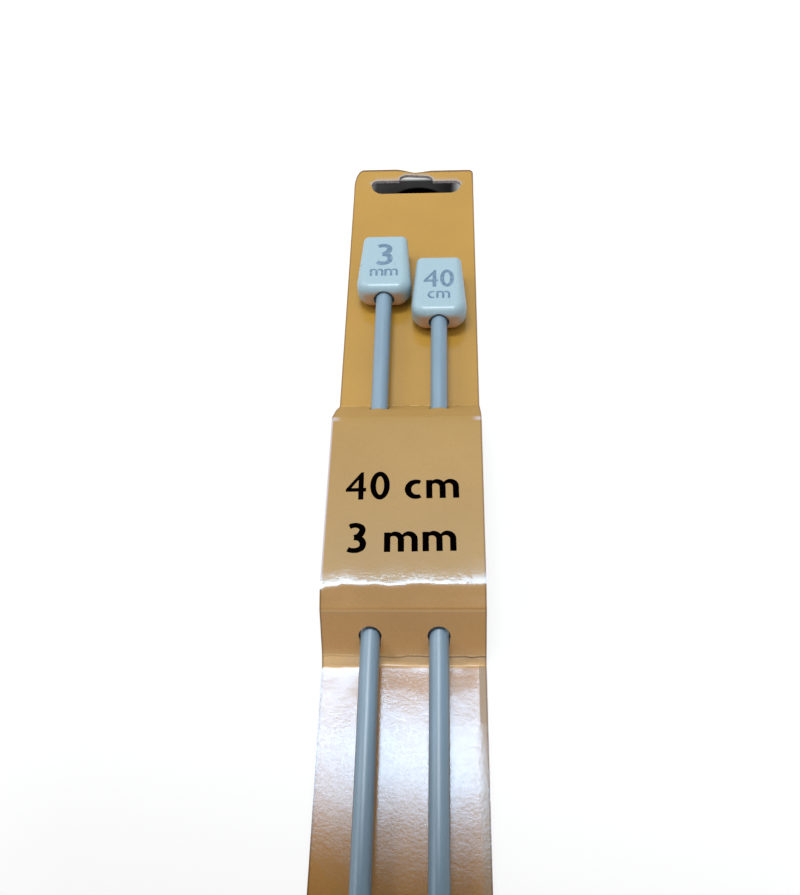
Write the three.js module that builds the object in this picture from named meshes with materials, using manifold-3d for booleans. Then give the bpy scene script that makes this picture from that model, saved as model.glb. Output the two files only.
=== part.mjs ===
// A pair of straight single-point knitting needles, threaded through the folded card that holds them.
// Units are millimetres. +Z is up from the table, and +Y runs along the needles towards their heads.
// The origin is on the table, under the middle of the card.

import * as THREE from "three";
import { mergeVertices } from "three/addons/utils/BufferGeometryUtils.js";
import Module from "manifold-3d";

const wasm = await Module();
wasm.setup();

// The shaft: coated aluminium rod, ground to a point at one end
const shaft = {
  diameter: 3,
  pointLength: 13, // from the very tip to the full diameter
  pointBlend: 4, // the last stretch of the taper, where it rounds into the rod
  tipDiameter: 1,
  endChamfer: 0.4, // on the end that sits in the head
  grooveCount: 3, // rings turned into that end, for the head to grip
  groovePitch: 1.8,
  grooveWidth: 0.8,
  grooveDepth: 0.2,
  sides: 40,
  curveSteps: 6,
};

// The head: a flat moulded knob, widest near the end that the shaft enters
const head = {
  length: 14.5,
  nearWidth: 10.8,
  farWidth: 8.5,
  nearThickness: 5.5,
  farThickness: 5,
  nearCorner: 2.1, // radius of the four long edges, at the shaft's end
  farCorner: 1.2,
  nearRounding: 1.8, // radius of the upper and lower rims of the end with the socket
  nearSideRounding: 3.3, // radius of the same end's left and right rims, seen from above
  farRounding: 0.8,
  socketEnd: 3.5, // solid plastic behind the blind socket
  socketClearance: 0.05, // between shaft and socket, on the radius
  mouthClearance: 0.45, // the wider mouth, which shows as a dark ring round the shaft
  mouthDepth: 1.4,
  seatGap: 0.3, // between the shaft's end and the bottom of the socket
  cornerSteps: 8,
  rimSteps: 9,
};

// The pair as it lies on the card
const pair = {
  needleLength: 400, // the length that such a needle is sold by, over shaft and head
  spacing: 10.4, // between the two axes
  sideShift: 0.15, // how far right of the card's middle line the pair lies
  stagger: 5.85, // how much further from the hang slot the right needle lies
  headToTopEdge: 24.7, // from the left head to the top edge of the card
  restGap: 0.3, // between a head and the card under it
  pointGap: 1.5, // between the right needle's tip and the wall that stops it
};

// The card: one strip of coated board, scored across and folded up into two raised bridges
const card = {
  width: 25,
  thickness: 0.5,
  headerLength: 62, // the flat panel with the hang slot, which the heads lie on
  tailLength: 22, // the flat panel past the points
  topCorner: 1.1,
  bottomCorner: 1.5,
  foldInside: 0.3, // inner radius of a scored fold
  foldSteps: 5,
};

// A bridge: the board rises, runs level over the shafts and falls back in three facets
const bridge = {
  height: 9.3, // of the level panel's upper face, over the table
  riserAngle: 45.5,
  frontLength: 30.4, // level panel of the upper bridge, which carries the size
  pocketLength: 24, // level panel of the lower bridge, which covers the points
  shoulderLength: 3.9,
  shoulderAngle: 19.5,
  shoulderRadius: 4, // the level panel rolls over softly into the shoulder
  wallAngle: 54.5,
  footLength: 1.85, // narrow facet between the two scores at the foot
  footAngle: 40.5,
};

// The hang slot: a long slot with a domed middle, for a peg
const hangSlot = {
  width: 18.7,
  height: 3.7,
  endLowerRadius: 2.4, // of each end's lower half; the upper half takes the rest of the height
  notchWidth: 7.1,
  notchHeight: 1.7,
  notchRounding: 2.4, // the stretch at each side of the dome over which it rises
  lowerEdge: 6.9, // below the card's top edge
  sideShift: 0.5, // right of the card's middle line
};

// The holes punched in the sloping walls, for the shafts
const hole = {
  sideClearance: 0.25,
  endClearance: 0.25,
  arcSteps: 20,
};

const colours = { shaft: 0x8fa6b4, head: 0xb2cdda, card: 0xc79c57 };

// Places and sizes that follow from the ones above
const sine = (angle) => Math.sin(THREE.MathUtils.degToRad(angle));
const cosine = (angle) => Math.cos(THREE.MathUtils.degToRad(angle));
const tangent = (angle) => Math.tan(THREE.MathUtils.degToRad(angle));
const acrossOf = (side) => pair.sideShift + (side * pair.spacing) / 2;
const axisHeight = card.thickness + pair.restGap + head.nearThickness / 2;
const socketDepth = head.length - head.socketEnd;
const shaftLength = pair.needleLength - head.socketEnd - head.seatGap;
const foldRadius = card.foldInside + card.thickness / 2;
const rise = bridge.height - card.thickness;
const shoulderDrop = bridge.shoulderLength * sine(bridge.shoulderAngle);
const footDrop = bridge.footLength * sine(bridge.footAngle);
const wallLength = (rise - shoulderDrop - footDrop) / sine(bridge.wallAngle);

// A closed geometry as a solid that can be cut
function toSolid(geometry) {
  const bare = geometry.clone();
  bare.deleteAttribute("normal");
  bare.deleteAttribute("uv");
  const merged = mergeVertices(bare, 1e-4);
  return new wasm.Manifold(
    new wasm.Mesh({
      numProp: 3,
      vertProperties: merged.attributes.position.array,
      triVerts: new Uint32Array(merged.index.array),
    }),
  );
}

// A cut solid back as a geometry
function toGeometry(solid) {
  const mesh = solid.getMesh();
  const geometry = new THREE.BufferGeometry();
  geometry.setAttribute("position", new THREE.BufferAttribute(new Float32Array(mesh.vertProperties), 3));
  geometry.setIndex(new THREE.BufferAttribute(new Uint32Array(mesh.triVerts), 1));
  const flat = geometry.toNonIndexed();
  flat.computeVertexNormals();
  return flat;
}

function namedMesh(name, geometry, color, roughness, metalness) {
  const mesh = new THREE.Mesh(geometry, new THREE.MeshStandardMaterial({ color, roughness, metalness }));
  mesh.name = name;
  return mesh;
}

// The card's side view is a chain of panels from its top edge to its tail. Each has a length along the
// board, the slope it runs at (positive where it climbs) and the radius of the fold that starts it.
function bridgePanels(levelLength, endIsPunched) {
  return [
    { length: rise / sine(bridge.riserAngle), slope: bridge.riserAngle, radius: foldRadius, punched: true },
    { length: levelLength, slope: 0, radius: foldRadius },
    { length: bridge.shoulderLength, slope: -bridge.shoulderAngle, radius: bridge.shoulderRadius },
    { length: wallLength, slope: -bridge.wallAngle, radius: foldRadius, punched: endIsPunched },
    { length: bridge.footLength, slope: -bridge.footAngle, radius: foldRadius },
  ];
}

const runOf = (chain) => chain.reduce((sum, panel) => sum + panel.length * cosine(panel.slope), 0);

// From the lower bridge's first fold to the inside of its end wall, at the height of the needles
function runToStop(pocket) {
  const wallBelowAxis = (axisHeight - card.thickness / 2 - footDrop) / tangent(bridge.wallAngle);
  const insideFace = card.thickness / 2 / sine(bridge.wallAngle);
  return runOf(pocket.slice(0, 4)) - wallBelowAxis - insideFace;
}

function cardPanels() {
  const upper = bridgePanels(bridge.frontLength, true);
  const pocket = bridgePanels(bridge.pocketLength, false);
  const topEdgeToStop = pair.headToTopEdge + pair.stagger + pair.needleLength + pair.pointGap;
  const middleLength = topEdgeToStop - card.headerLength - runOf(upper) - runToStop(pocket);
  return [
    { length: card.headerLength, slope: 0, radius: 0 },
    ...upper,
    { length: middleLength, slope: 0, radius: foldRadius },
    ...pocket,
    { length: card.tailLength, slope: 0, radius: foldRadius },
  ];
}

const panels = cardPanels();
const topEdge = runOf(panels) / 2;

// The corners between panels, in the middle of the board's thickness, as points of (y, z)
function panelCorners() {
  const corners = [new THREE.Vector2(topEdge, card.thickness / 2)];
  for (const panel of panels) {
    const last = corners[corners.length - 1];
    const step = new THREE.Vector2(-panel.length * cosine(panel.slope), panel.length * sine(panel.slope));
    corners.push(last.clone().add(step));
  }
  return corners;
}

// The direction that the board's upper face looks in, where it runs at a slope
const upperNormal = (slope) => new THREE.Vector2(sine(slope), cosine(slope));

// The middle line of the board, with each fold as an arc
function foldedLine(corners) {
  const line = [{ point: corners[0], slope: panels[0].slope }];
  for (let i = 1; i < panels.length; i++) {
    const { radius, slope } = panels[i];
    const before = panels[i - 1].slope;
    const turn = slope - before;
    const side = Math.sign(turn);
    const reach = radius * tangent(Math.abs(turn) / 2);
    const start = corners[i].clone().add(new THREE.Vector2(reach * cosine(before), -reach * sine(before)));
    const centre = start.add(upperNormal(before).multiplyScalar(side * radius));
    for (let k = 0; k <= card.foldSteps; k++) {
      const here = before + (turn * k) / card.foldSteps;
      line.push({ point: centre.clone().sub(upperNormal(here).multiplyScalar(side * radius)), slope: here });
    }
  }
  line.push({ point: corners[corners.length - 1], slope: panels[panels.length - 1].slope });
  return line;
}

// The strip: its side view, pulled across the card's width
function foldedStrip(corners) {
  const line = foldedLine(corners);
  const half = card.thickness / 2;
  const upper = line.map(({ point, slope }) => point.clone().add(upperNormal(slope).multiplyScalar(half)));
  const lower = line.map(({ point, slope }) => point.clone().sub(upperNormal(slope).multiplyScalar(half)));
  const sideView = new THREE.Shape([...upper, ...lower.reverse()]);
  const geometry = new THREE.ExtrudeGeometry(sideView, { depth: card.width, bevelEnabled: false });
  // The side view is drawn in (y, z) and pulled along its own third axis, so the axes are turned round.
  const across = new THREE.Vector3(1, 0, 0);
  const along = new THREE.Vector3(0, 1, 0);
  const up = new THREE.Vector3(0, 0, 1);
  geometry.applyMatrix4(new THREE.Matrix4().makeBasis(along, up, across));
  geometry.translate(-card.width / 2, 0, 0);
  return toSolid(geometry);
}

// The slot's outline: each end is a lower and an upper quarter arc that meet at its tip
function hangSlotPath() {
  const middle = hangSlot.sideShift;
  const half = hangSlot.width / 2;
  const low = topEdge - hangSlot.lowerEdge;
  const high = low + hangSlot.height;
  const lower = hangSlot.endLowerRadius;
  const upper = hangSlot.height - lower;
  const notch = hangSlot.notchWidth / 2;
  const flat = notch - hangSlot.notchRounding;
  const top = high + hangSlot.notchHeight;
  const path = new THREE.Path();
  path.moveTo(middle - half + lower, low);
  path.absarc(middle - half + lower, low + lower, lower, 1.5 * Math.PI, Math.PI, true);
  path.absarc(middle - half + upper, high - upper, upper, Math.PI, 0.5 * Math.PI, true);
  path.lineTo(middle - notch, high);
  path.quadraticCurveTo(middle - notch, top, middle - flat, top);
  path.lineTo(middle + flat, top);
  path.quadraticCurveTo(middle + notch, top, middle + notch, high);
  path.lineTo(middle + half - upper, high);
  path.absarc(middle + half - upper, high - upper, upper, 0.5 * Math.PI, 0, true);
  path.absarc(middle + half - lower, low + lower, lower, 0, -0.5 * Math.PI, true);
  path.closePath();
  return path;
}

// The outline that the card is die-cut to, seen from above, with its hang slot
function cardOutline() {
  const side = card.width / 2;
  const shape = new THREE.Shape();
  for (const [x, y, radius, quarter] of [
    [side, -topEdge, card.bottomCorner, 3],
    [side, topEdge, card.topCorner, 0],
    [-side, topEdge, card.topCorner, 1],
    [-side, -topEdge, card.bottomCorner, 2],
  ]) {
    const start = (quarter * Math.PI) / 2;
    const inX = x - Math.sign(x) * radius;
    const inY = y - Math.sign(y) * radius;
    shape.absarc(inX, inY, radius, start, start + Math.PI / 2);
  }
  shape.closePath();
  shape.holes.push(hangSlotPath());
  return shape;
}

// Everything above and below that outline, to trim the folded strip with
function outlineTrim() {
  const reach = 2 * bridge.height;
  const geometry = new THREE.ExtrudeGeometry(cardOutline(), { depth: 2 * reach, bevelEnabled: false });
  geometry.translate(0, 0, -reach);
  return toSolid(geometry);
}

// The punch for a shaft hole: it has round ends, and is long enough for the level rod to pass the slope
function holePunch(slope) {
  const lean = Math.abs(slope);
  const rod = shaft.diameter / 2;
  const radius = rod + hole.sideClearance;
  const reach = rod / sine(lean) + card.thickness / 2 / tangent(lean) + hole.endClearance;
  const straight = Math.max(reach - radius, 0);
  const shape = new THREE.Shape();
  shape.absarc(0, straight, radius, 0, Math.PI);
  shape.absarc(0, -straight, radius, Math.PI, 2 * Math.PI);
  shape.closePath();
  const depth = 6 * card.thickness;
  const options = { depth, bevelEnabled: false, curveSegments: hole.arcSteps };
  const geometry = new THREE.ExtrudeGeometry(shape, options);
  geometry.translate(0, 0, -depth / 2);
  geometry.rotateX(-THREE.MathUtils.degToRad(slope));
  return geometry;
}

function cardMesh() {
  const corners = panelCorners();
  let solid = foldedStrip(corners).intersect(outlineTrim());
  panels.forEach((panel, i) => {
    if (!panel.punched) return;
    const share = (axisHeight - corners[i].y) / (corners[i + 1].y - corners[i].y);
    const y = THREE.MathUtils.lerp(corners[i].x, corners[i + 1].x, share);
    for (const side of [-1, 1]) {
      const punch = holePunch(panel.slope);
      punch.translate(acrossOf(side), y, axisHeight);
      solid = solid.subtract(toSolid(punch));
    }
  });
  return namedMesh("card", toGeometry(solid), colours.card, 0.35, 0);
}

// The shaft, turned about its axis: the profile starts at the tip and ends on the axis inside the head
function shaftMesh(name) {
  const radius = shaft.diameter / 2;
  const tip = shaft.tipDiameter / 2;
  const coneEnd = shaft.pointLength - shaft.pointBlend / 2;
  const blendStart = shaft.pointLength - shaft.pointBlend;
  const lean = Math.atan((radius - tip) / coneEnd);
  const profile = new THREE.Path();
  profile.moveTo(0, 0);
  profile.absarc(0, tip, tip, -Math.PI / 2, -lean);
  profile.lineTo(THREE.MathUtils.lerp(tip, radius, blendStart / coneEnd), blendStart);
  profile.quadraticCurveTo(radius, coneEnd, radius, shaft.pointLength);
  for (let k = shaft.grooveCount; k > 0; k--) {
    const start = shaftLength - k * shaft.groovePitch;
    profile.lineTo(radius, start);
    profile.lineTo(radius - shaft.grooveDepth, start + shaft.grooveWidth / 4);
    profile.lineTo(radius - shaft.grooveDepth, start + (3 * shaft.grooveWidth) / 4);
    profile.lineTo(radius, start + shaft.grooveWidth);
  }
  profile.lineTo(radius, shaftLength - shaft.endChamfer);
  profile.lineTo(radius - shaft.endChamfer, shaftLength);
  profile.lineTo(0, shaftLength);
  const geometry = new THREE.LatheGeometry(profile.getPoints(shaft.curveSteps), shaft.sides);
  return namedMesh(name, toGeometry(toSolid(geometry)), colours.shaft, 0.4, 0.3);
}

// One ring of the head's skin: a rectangle with round corners, drawn in at its sides and at its upper and
// lower faces where a rim rounds over
function headRing(along, sideInset, faceInset) {
  const share = along / head.length;
  const halfWidth = THREE.MathUtils.lerp(head.nearWidth, head.farWidth, share) / 2 - sideInset;
  const halfThickness = THREE.MathUtils.lerp(head.nearThickness, head.farThickness, share) / 2 - faceInset;
  const fullCorner = THREE.MathUtils.lerp(head.nearCorner, head.farCorner, share);
  const corner = Math.max(fullCorner - faceInset, fullCorner / 4);
  const ring = [];
  [
    [1, 1],
    [-1, 1],
    [-1, -1],
    [1, -1],
  ].forEach(([sideX, sideZ], quarter) => {
    for (let k = 0; k <= head.cornerSteps; k++) {
      const angle = ((quarter + k / head.cornerSteps) * Math.PI) / 2;
      const x = sideX * (halfWidth - corner) + corner * Math.cos(angle);
      const z = sideZ * (halfThickness - corner) + corner * Math.sin(angle);
      ring.push(new THREE.Vector3(x, along, z));
    }
  });
  return ring;
}

// How far a rim of this radius draws the skin in, at a distance from the end
const rimInset = (radius, along) => radius - Math.sqrt(radius ** 2 - Math.max(radius - along, 0) ** 2);

// The head's rings from its near end to its far end, with the rims rounded
function headRings() {
  const near = [];
  const far = [];
  for (let k = 0; k <= head.rimSteps; k++) {
    const turn = ((k / head.rimSteps) * Math.PI) / 2;
    const along = head.nearSideRounding * (1 - Math.cos(turn));
    near.push(headRing(along, rimInset(head.nearSideRounding, along), rimInset(head.nearRounding, along)));
    const toFarEnd = head.farRounding * (1 - Math.sin(turn));
    const inset = rimInset(head.farRounding, toFarEnd);
    far.push(headRing(head.length - toFarEnd, inset, inset));
  }
  return [...near, ...far];
}

// A closed skin over rings of equal count
function skinOf(rings) {
  const count = rings[0].length;
  const last = (rings.length - 1) * count;
  const index = [];
  for (let start = 0; start < last; start += count) {
    for (let k = 0; k < count; k++) {
      const a = start + k;
      const b = start + ((k + 1) % count);
      index.push(a, a + count, b, b, a + count, b + count);
    }
  }
  for (let k = 1; k + 1 < count; k++) {
    index.push(0, k, k + 1);
    index.push(last, last + k + 1, last + k);
  }
  const geometry = new THREE.BufferGeometry().setFromPoints(rings.flat());
  geometry.setIndex(index);
  return geometry;
}

// The blind socket with its wider mouth, as a turned cutter that starts outside the head
function socketCutter() {
  const bore = shaft.diameter / 2 + head.socketClearance;
  const mouth = shaft.diameter / 2 + head.mouthClearance;
  const outside = -head.mouthDepth;
  const profile = [
    new THREE.Vector2(0, outside),
    new THREE.Vector2(mouth, outside),
    new THREE.Vector2(mouth, head.mouthDepth),
    new THREE.Vector2(bore, head.mouthDepth),
    new THREE.Vector2(bore, socketDepth),
    new THREE.Vector2(0, socketDepth),
  ];
  return toSolid(new THREE.LatheGeometry(profile, shaft.sides));
}

// The head, with 0 at the end that the shaft enters
function headMesh(name) {
  const solid = toSolid(skinOf(headRings())).subtract(socketCutter());
  return namedMesh(name, toGeometry(solid), colours.head, 0.3, 0);
}

// A whole needle, with 0 at its tip
function needleGroup(name) {
  const group = new THREE.Group();
  const knob = headMesh(name + "_head");
  knob.position.y = pair.needleLength - head.length;
  group.add(shaftMesh(name + "_shaft"), knob);
  return group;
}

const needlesOnCard = new THREE.Group();
needlesOnCard.add(cardMesh());
const leftTip = topEdge - pair.headToTopEdge - pair.needleLength;
for (const [name, side, back] of [
  ["left", -1, 0],
  ["right", 1, pair.stagger],
]) {
  const needle = needleGroup(name);
  needle.position.set(acrossOf(side), leftTip - back, axisHeight);
  needlesOnCard.add(needle);
}

export default needlesOnCard;
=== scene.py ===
# A carded pair of knitting needles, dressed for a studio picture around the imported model.
# The dictionaries hold millimetres and degrees, unless a note says otherwise.

import math

import bpy
import numpy as np
from mathutils import Matrix, Vector, kdtree, noise
from mathutils.geometry import delaunay_2d_cdt


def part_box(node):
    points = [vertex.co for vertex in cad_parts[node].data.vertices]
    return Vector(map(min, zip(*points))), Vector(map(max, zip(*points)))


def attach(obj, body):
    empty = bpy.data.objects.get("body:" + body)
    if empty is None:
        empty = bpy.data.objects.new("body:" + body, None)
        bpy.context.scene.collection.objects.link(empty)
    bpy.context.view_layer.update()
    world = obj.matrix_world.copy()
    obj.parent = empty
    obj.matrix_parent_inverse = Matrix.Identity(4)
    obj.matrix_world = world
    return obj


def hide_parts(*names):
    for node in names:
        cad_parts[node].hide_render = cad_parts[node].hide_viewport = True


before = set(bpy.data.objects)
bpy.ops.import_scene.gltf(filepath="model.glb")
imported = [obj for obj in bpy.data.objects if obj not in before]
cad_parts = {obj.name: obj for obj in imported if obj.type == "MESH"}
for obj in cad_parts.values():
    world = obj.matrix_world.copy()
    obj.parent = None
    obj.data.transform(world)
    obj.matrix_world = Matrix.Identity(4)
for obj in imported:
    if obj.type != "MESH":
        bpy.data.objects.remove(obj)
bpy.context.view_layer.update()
mm = 0.001
print("frame loaded")


def paint(red, green, blue):  # a colour as a screen shows it, 0 to 255, made linear
    parts = [value / 255 for value in (red, green, blue)]
    return tuple(p / 12.92 if p <= 0.04045 else ((p + 0.055) / 1.055) ** 2.4 for p in parts) + (1,)


def smooth(edge, full, value):  # 0 at edge, 1 at full, eased in between
    t = min(max((value - edge) / (full - edge), 0), 1)
    return t * t * (3 - 2 * t)


# camera, lamps and floor

cameraSetup = {
    "place": (7.136, 61.325, 144.97),
    "down": 56.162,  # the view's angle below the horizon
    "turn": 5.103,  # to the left
    "roll": -4.670,
    "focal": 1000,  # in pixels of the 800 x 895 picture
    "longSide": 895,
}


def addCamera():
    down, turn, roll = (math.radians(cameraSetup[key]) for key in ("down", "turn", "roll"))
    spin = Matrix.Rotation(turn, 3, "Z")
    ahead = spin @ Vector((0, math.cos(down), -math.sin(down)))
    above = spin @ Vector((0, math.sin(down), math.cos(down)))
    side = spin @ Vector((1, 0, 0))
    right = math.cos(roll) * side + math.sin(roll) * above
    top = math.cos(roll) * above - math.sin(roll) * side
    data = bpy.data.cameras.new("studioCamera")
    data.sensor_width = 36
    data.lens = cameraSetup["focal"] * data.sensor_width / cameraSetup["longSide"]
    data.clip_start = 0.005
    data.clip_end = 50
    camera = bpy.data.objects.new("studioCamera", data)
    camera.matrix_world = Matrix.Translation(Vector(cameraSetup["place"]) * mm) @ Matrix(
        (right, top, -ahead)
    ).transposed().to_4x4()
    bpy.context.scene.collection.objects.link(camera)
    bpy.context.scene.camera = camera


# each lamp faces straight down, and then "turned" tips it about x and y
lamps = {
    "overheadPanel": {
        "place": (-95, 388, 1000),
        "turned": (0, 0),
        "size": (410, 168),
        "radiance": 28,
        "tint": (0.94, 0.99, 1.05),
    },
    "leftWindow": {
        "place": (-760, 420, 620),
        "turned": (-24, -50),
        "size": (600, 600),
        "radiance": 2.4,
        "tint": (1, 1, 1),
    },
}
stageSetup = {
    "floorSize": 6000,
    "floorDrop": 0.05,
    "floorBounce": 0.42,
    "dimSky": 0.08,  # light from the far horizon
    "ceiling": 0.95,  # light from overhead and from behind the camera
    "farCeiling": 1.4,  # what a paler stretch of ceiling beyond the card adds
    "floorSeen": (0.19, 0.84),  # share of the falling light that the camera sees there, and glow of its own
    "darkUnder": ((12.3, 7.6), (227.4, 226)),  # where the painted shadow on the floor under the card ends and is full
    "darkest": ((0.9, 221.4), (4.6, 2.6)),  # the painted shadow's blackest part, under the hang slot: middle and half size
    "darkestEdge": (0.8, 1.35),  # where that part ends, in squared half sizes
    "behind": ((0.4, -0.1), (0.15, 0.75)),  # where the ceiling begins and is full: forwards, and upwards
    "beyond": ((0.2, 0.4), (0.74, 0.92)),  # the same for its paler stretch
    "paperGrain": (40, 0.985),  # scale of the floor's grain, and its darkest tone
    "shadowMottle": (260, 0.955, 0.99),  # scale of the mottling in the painted shadow under the card, and how dark it and the rest are
}
# a black sheet that keeps the overhead lamp's mirror image off the near end of the card
lensShade = {"x": (-72, 54), "y": (24, 135.2), "slant": 0.17, "height": 100, "softEdge": 28}


def addLamp(name):
    setup = lamps[name]
    wide, high = (side * mm for side in setup["size"])
    data = bpy.data.lights.new(name, "AREA")
    data.shape = "RECTANGLE"
    data.size, data.size_y = wide, high
    data.energy = setup["radiance"] * math.pi * wide * high
    data.color = setup["tint"]
    lamp = bpy.data.objects.new(name, data)
    lamp.location = Vector(setup["place"]) * mm
    lamp.rotation_euler = (math.radians(setup["turned"][0]), math.radians(setup["turned"][1]), 0)
    bpy.context.scene.collection.objects.link(lamp)


def seenShare(tree):  # 1 for what is seen, directly or in gloss or glass, and 0 for falling light
    path = addNode(tree, "LightPath")
    direct = compute(tree, "ADD", path.outputs["Is Camera Ray"], path.outputs["Is Glossy Ray"])
    return compute(tree, "ADD", direct, path.outputs["Is Transmission Ray"], use_clamp=True)


def addSheet(name, material, corners):
    mesh = bpy.data.meshes.new(name)
    mesh.from_pydata([tuple(c * mm for c in corner) for corner in corners], [], [(0, 1, 2, 3)])
    mesh.materials.append(material)
    sheet = bpy.data.objects.new(name, mesh)
    bpy.context.scene.collection.objects.link(sheet)
    return sheet


def addWorld():
    world = bpy.data.worlds.new("whiteRoom")
    world.use_nodes = True
    bpy.context.scene.world = world
    tree = world.node_tree
    parts = addNode(tree, "SeparateXYZ", {"Vector": addNode(tree, "TexCoord").outputs["Generated"]})
    behind, beyond = (
        every(tree, *(ramp(tree, parts.outputs[axis], *ends) for axis, ends in zip("YZ", stageSetup[key])))
        for key in ("behind", "beyond")
    )
    falling = between(tree, behind, stageSetup["dimSky"], stageSetup["ceiling"])
    white = between(tree, seenShare(tree), falling, 1)
    unseen = compute(tree, "SUBTRACT", 1, addNode(tree, "LightPath").outputs["Is Camera Ray"])
    strength = compute(tree, "ADD", white, every(tree, beyond, stageSetup["farCeiling"], unseen))
    plug(tree, tree.nodes["Background"], {"Color": (1, 1, 1, 1), "Strength": strength})


def addFloor():
    material, tree, shader = newMaterial("palePaperSweep")
    seen = seenShare(tree)
    grainScale, grainTone = stageSetup["paperGrain"]
    grain = addNode(tree, "TexNoise", {"Scale": grainScale, "Detail": 3}).outputs["Fac"]
    litShare, ownGlow = stageSetup["floorSeen"]
    place = addNode(tree, "SeparateXYZ", {"Vector": objectPlace(tree)})
    # painted shadow: the floor is darkened where the card covers it, mottled, and blackest under the hang
    # slot
    inside, squares = [], []
    for axis, (end, full) in zip("XY", stageSetup["darkUnder"]):
        inside.append(ramp(tree, compute(tree, "ABSOLUTE", place.outputs[axis]), end * mm, full * mm))
    for axis, middle, reach in zip("XY", *stageSetup["darkest"]):
        offset = compute(tree, "SUBTRACT", place.outputs[axis], middle * mm)
        squares.append(compute(tree, "POWER", compute(tree, "DIVIDE", offset, reach * mm), 2))
    mottleScale, *mottleTones = stageSetup["shadowMottle"]
    shadowMottle = addNode(tree, "TexNoise", {"Scale": mottleScale, "Detail": 3}).outputs["Fac"]
    mottledDepth = ramp(tree, shadowMottle, 0.3, 0.7, *mottleTones)
    depth = ramp(tree, compute(tree, "ADD", *squares), *stageSetup["darkestEdge"], 1, mottledDepth)
    bright = compute(tree, "SUBTRACT", 1, every(tree, *inside, depth))
    shade = between(tree, seen, stageSetup["floorBounce"], litShare)
    tone = every(tree, shade, between(tree, grain, grainTone, 1), bright)
    colour = addNode(tree, "CombineColor", {"Red": tone, "Green": tone, "Blue": tone}).outputs["Color"]
    plug(tree, shader, {"Base Color": colour, "Roughness": 1, "Specular IOR Level": 0})
    glow = every(tree, seen, ownGlow, bright)
    plug(tree, shader, {"Emission Color": (1, 1, 1, 1), "Emission Strength": glow})
    half, z = stageSetup["floorSize"] / 2, -stageSetup["floorDrop"]
    addSheet("floor", material, [(-half, -half, z), (half, -half, z), (half, half, z), (-half, half, z)])


def addLensShade():
    material, tree, shader = newMaterial("blackShadeCloth")
    place = addNode(tree, "SeparateXYZ", {"Vector": objectPlace(tree)})
    (left, right), (near, far), z = lensShade["x"], lensShade["y"], lensShade["height"]
    across = compute(tree, "MULTIPLY", place.outputs["X"], lensShade["slant"])
    reach = compute(tree, "ADD", place.outputs["Y"], across)
    cover = ramp(tree, reach, far * mm, (far - lensShade["softEdge"]) * mm)
    plug(tree, shader, {"Alpha": cover, "Base Color": (0, 0, 0, 1), "Specular IOR Level": 0})
    ends = [(x, far - lensShade["slant"] * x, z) for x in (right, left)]
    sheet = addSheet("lens_shade", material, [(left, near, z), (right, near, z), *ends])
    sheet.visible_camera = False


# small helpers for materials and meshes


def newMaterial(name):
    material = bpy.data.materials.new(name)
    material.use_nodes = True
    return material, material.node_tree, material.node_tree.nodes["Principled BSDF"]


def addNode(tree, kind, inputs=None, **settings):
    node = tree.nodes.new("ShaderNode" + kind)
    for key, value in settings.items():
        setattr(node, key, value)
    plug(tree, node, inputs or {})
    return node


def plug(tree, node, inputs):  # each input gets a plain value, or a link from another node
    for key, value in inputs.items():
        if isinstance(value, bpy.types.NodeSocket):
            tree.links.new(value, node.inputs[key])
        else:
            node.inputs[key].default_value = value


def compute(tree, operation, first, second=None, **settings):
    inputs = {0: first} if second is None else {0: first, 1: second}
    return addNode(tree, "Math", inputs, operation=operation, **settings).outputs[0]


def ramp(tree, value, low, high, bottom=0.0, top=1.0):  # bottom at low, top at high, eased in between
    inputs = {"Value": value, "From Min": low, "From Max": high, "To Min": bottom, "To Max": top}
    return addNode(tree, "MapRange", inputs, interpolation_type="SMOOTHSTEP").outputs["Result"]


def between(tree, share, none, full):  # evenly from one to the other
    return addNode(tree, "MapRange", {"Value": share, "To Min": none, "To Max": full}).outputs["Result"]


def every(tree, *shares):  # all of the conditions at once
    result = shares[0]
    for share in shares[1:]:
        result = compute(tree, "MULTIPLY", result, share)
    return result


def stretch(tree, value, start, full, fading, end):  # a share that is full from one place to another
    return every(tree, ramp(tree, value, start, full), ramp(tree, value, end, fading))


def objectPlace(tree):
    return addNode(tree, "TexCoord").outputs["Object"]


def speckle(tree, place, scale, detail=3, **inputs):
    inputs = {"Vector": place, "Scale": scale, "Detail": detail, **inputs}
    return addNode(tree, "TexNoise", inputs).outputs["Fac"]


def streak(tree, place, detail):  # noise that changes along one line only
    inputs = {"W": place, "Scale": 1, "Detail": detail}
    return addNode(tree, "TexNoise", inputs, noise_dimensions="1D").outputs["Fac"]


def relief(tree, height, strength, depth, **under):  # depth is in micrometres
    inputs = {"Height": height, "Strength": strength, "Distance": depth * 1e-6, **under}
    return addNode(tree, "Bump", inputs).outputs["Normal"]


def blendColour(tree, share, under, over):
    return addNode(tree, "Mix", {"Factor": share, "A": under, "B": over}, data_type="RGBA").outputs["Result"]


def addPiece(name, points, faces, materials, body, replaced=(), slots=None, sharpAngle=35):
    mesh = bpy.data.meshes.new(name)
    mesh.from_pydata([tuple(c * mm for c in p) for p in points], [], faces)
    for material in materials:
        mesh.materials.append(material)
    if slots is not None:
        mesh.polygons.foreach_set("material_index", slots)
    mesh.shade_smooth()
    mesh.set_sharp_from_angle(angle=math.radians(sharpAngle))
    mesh.validate()
    piece = bpy.data.objects.new(name, mesh)
    bpy.context.scene.collection.objects.link(piece)
    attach(piece, body)
    if replaced:
        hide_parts(*replaced)
    return piece


# the figures and letters of the size: each part is a list of an outer loop and, where there is one, its hole

figureStyle = {"lower": 0.677, "stem": 0.192}  # small letters' height and stroke, in figure heights


def arc(centreX, centreY, wide, high, start, end, steps=22):
    turns = np.radians(np.linspace(start, end, steps + 1))
    return np.column_stack([centreX + wide * np.cos(turns), centreY + high * np.sin(turns)])


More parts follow.
